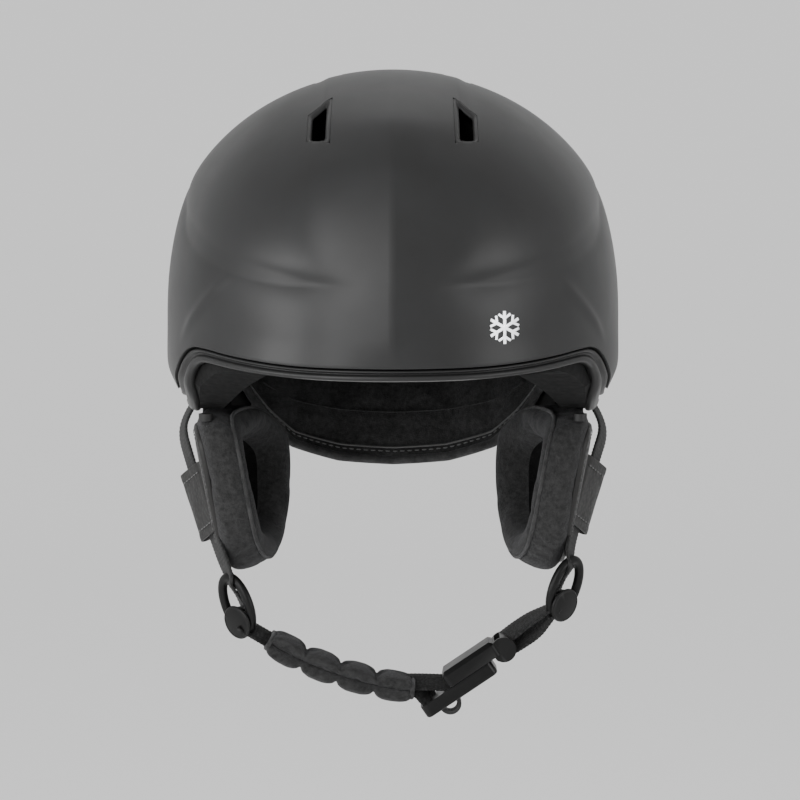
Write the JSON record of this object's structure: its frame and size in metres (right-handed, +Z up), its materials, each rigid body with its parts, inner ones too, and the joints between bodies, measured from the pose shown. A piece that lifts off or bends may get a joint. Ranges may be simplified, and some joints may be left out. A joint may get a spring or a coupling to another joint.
{
  "type": "ski helmet",
  "caption": "Snow helmet with a ducted hard shell, padded foam liner, soft ear pads, webbing straps with a padded magnetic chin buckle, and a dial-adjusted headband.",
  "frame": {"origin": "centre of the head opening, on the symmetry plane, level with the shell's side edges", "axes": "+Z up out of the crown, -Y to the front, +X to the wearer's left"},
  "size_m": [0.2108, 0.2655, 0.2982],
  "materials": {
    "shell": "satin black polycarbonate",
    "foam": "black expanded polystyrene",
    "rim": "matte black",
    "plastic": "matte black moulded",
    "badge": "silver print",
    "lining": "brushed fleece",
    "cover": "soft black leatherette",
    "webbing": "woven polyester webbing",
    "buckle": "glossy black",
    "rubber": "matte",
    "steel": "plain"
  },
  "bodies": {
    "helmet": {"outer_shell": "shell", "foam_liner": "foam", "lower_rim": "rim", "vent_bezels_front": "rim", "vent_bezels_top": "rim", "vent_bezels_rear": "rim", "badge": "badge", "brow_pad": "lining", "crown_pad": "lining", "rear_pad": "lining", "side_pad_left": "lining", "side_pad_right": "lining", "neck_pad": "lining", "cradle_plate": "plastic", "dial_housing": "plastic", "housing_screws": "steel", "headband_guides": "plastic", "ear_pad_left": "lining", "ear_pad_right": "lining", "ear_pad_cover_left": "cover", "ear_pad_cover_right": "cover", "ear_pad_snaps_left": "plastic", "ear_pad_snaps_right": "plastic", "strap_sleeve_left": "cover", "strap_sleeve_right": "cover", "front_strap_left": "webbing", "front_strap_right": "webbing", "rear_strap_left": "webbing", "rear_strap_right": "webbing", "strap_anchors_left": "plastic", "strap_anchors_right": "plastic", "divider_frame_left": "buckle", "divider_frame_right": "buckle", "chin_strap_right": "webbing", "chin_pad": "lining", "buckle_base": "buckle", "buckle_magnet_base": "steel", "buckle_pull_tab": "rubber", "goggle_clip_base": "plastic", "goggle_clip_pin": "steel", "goggle_snap_stud": "steel"},
    "fit_dial": {"dial_knob": "plastic", "dial_pinion": "plastic", "dial_screw": "steel"},
    "band_left": {"headband_left": "plastic"},
    "band_right": {"headband_right": "plastic"},
    "vent_slider": {"vent_shutter": "plastic", "vent_slider_knob": "plastic"},
    "lock_left": {"divider_lock_left": "buckle"},
    "lock_right": {"divider_lock_right": "buckle"},
    "buckle_arm": {"buckle_latch": "buckle", "buckle_magnet_latch": "steel", "chin_strap_left": "webbing"},
    "goggle_clip": {"goggle_clip_strap": "rubber", "goggle_snap_cap": "plastic"}
  },
  "joints": [
    {"name": "fit_dial_turn", "type": "hinge", "parent": "helmet", "child": "fit_dial", "pos_m": [0, 0.10332, -0.02219], "axis": [0, 0.9613, -0.2756], "range_deg": [-180, 180]},
    {"name": "band_left_slide", "type": "hinge", "parent": "helmet", "child": "band_left", "pos_m": [0, 0.012, 0.004], "axis": [0, 0.2756, 0.9613], "range_deg": [-10.72, 10.72]},
    {"name": "band_right_slide", "type": "hinge", "parent": "helmet", "child": "band_right", "pos_m": [0, 0.012, 0.004], "axis": [0, 0.2756, 0.9613], "range_deg": [-10.72, 10.72]},
    {"name": "vent_slide", "type": "hinge", "parent": "helmet", "child": "vent_slider", "pos_m": [0, 0.0015, -0.006], "axis": [1, 0, 0], "range_deg": [0, 13]},
    {"name": "divider_lock_left", "type": "hinge", "parent": "helmet", "child": "lock_left", "pos_m": [0.08123, -0.03074, -0.08622], "axis": [-0.6078, -0.766, 0.2093], "range_deg": [0, 100]},
    {"name": "divider_lock_right", "type": "hinge", "parent": "helmet", "child": "lock_right", "pos_m": [-0.07383, -0.03074, -0.09422], "axis": [-0.6078, 0.766, -0.2093], "range_deg": [0, 100]},
    {"name": "buckle_open", "type": "hinge", "parent": "helmet", "child": "buckle_arm", "pos_m": [0.065, -0.028, -0.0985], "axis": [-0.5592, 0, 0.829], "range_deg": [0, 60]},
    {"name": "goggle_clip_open", "type": "hinge", "parent": "helmet", "child": "goggle_clip", "pos_m": [0, 0.1303, 0.066], "axis": [1, 0, 0], "range_deg": [0, 100]}
  ],
  "couplings": [
    {"joint": "band_left_slide", "follows": "fit_dial_turn", "ratio": -0.059524},
    {"joint": "band_right_slide", "follows": "fit_dial_turn", "ratio": 0.059524}
  ]
}
